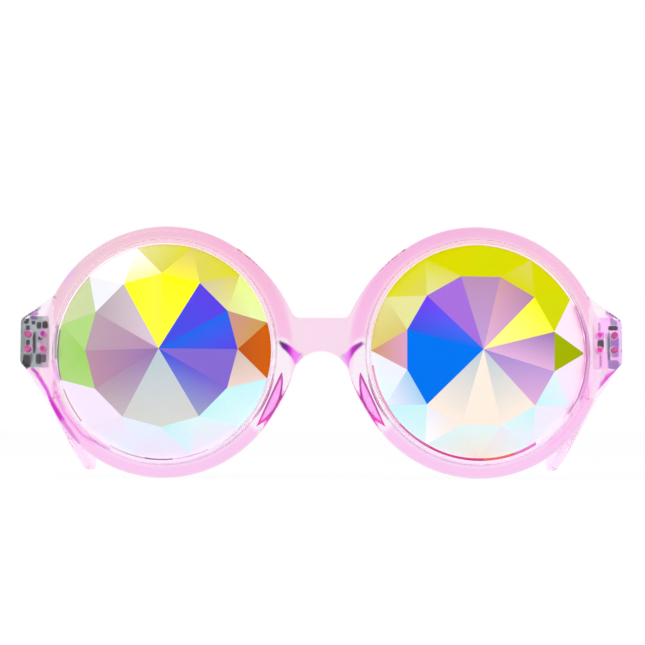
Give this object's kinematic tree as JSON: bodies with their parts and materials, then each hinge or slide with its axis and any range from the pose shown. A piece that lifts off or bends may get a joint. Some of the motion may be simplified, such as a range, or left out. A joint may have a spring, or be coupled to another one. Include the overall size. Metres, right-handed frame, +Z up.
{
  "type": "kaleidoscope glasses",
  "caption": "Round-rimmed translucent pink glasses with faceted crystal kaleidoscope lenses and folding temples on small metal hinges.",
  "frame": {"origin": "bottom centre of the bounding box of the open glasses, standing on the rim bottoms and the temple tips", "axes": "+Y runs back along the open temples, +Z up, +X to the right as seen from the front; the lenses face -Y"},
  "size_m": [0.1448, 0.151, 0.0606],
  "materials": {
    "frame_plastic": "glossy translucent pale pink",
    "temple_plastic": "glossy translucent pale pink",
    "pad_plastic": "glossy translucent magenta",
    "lens_crystal_left": "polished facets with colour films",
    "lens_crystal_right": "polished facets with colour films",
    "hinge_steel": "dark brushed steel",
    "rivet_metal": "metal seen through pink plastic"
  },
  "bodies": {
    "front": {"front_frame": "frame_plastic", "lens_left": "lens_crystal_left", "lens_right": "lens_crystal_right", "nose_pad_left": "pad_plastic", "nose_pad_right": "pad_plastic", "front_hinge_leaf_left": "hinge_steel", "front_hinge_rivets_left": "rivet_metal", "hinge_screw_left": "hinge_steel", "front_hinge_leaf_right": "hinge_steel", "front_hinge_rivets_right": "rivet_metal", "hinge_screw_right": "hinge_steel"},
    "temple_left_body": {"temple_left": "temple_plastic", "temple_hinge_leaf_left": "hinge_steel", "temple_hinge_rivets_left": "rivet_metal"},
    "temple_right_body": {"temple_right": "temple_plastic", "temple_hinge_leaf_right": "hinge_steel", "temple_hinge_rivets_right": "rivet_metal"}
  },
  "joints": [
    {"name": "left_temple_fold", "type": "hinge", "parent": "front", "child": "temple_left_body", "pos_m": [-0.0671, -0.05893, 0.03253], "axis": [0, -0.0704, -0.9975], "range_deg": [0, 89]},
    {"name": "right_temple_fold", "type": "hinge", "parent": "front", "child": "temple_right_body", "pos_m": [0.0671, -0.05893, 0.03253], "axis": [0, 0.0704, 0.9975], "range_deg": [0, 78]}
  ]
}
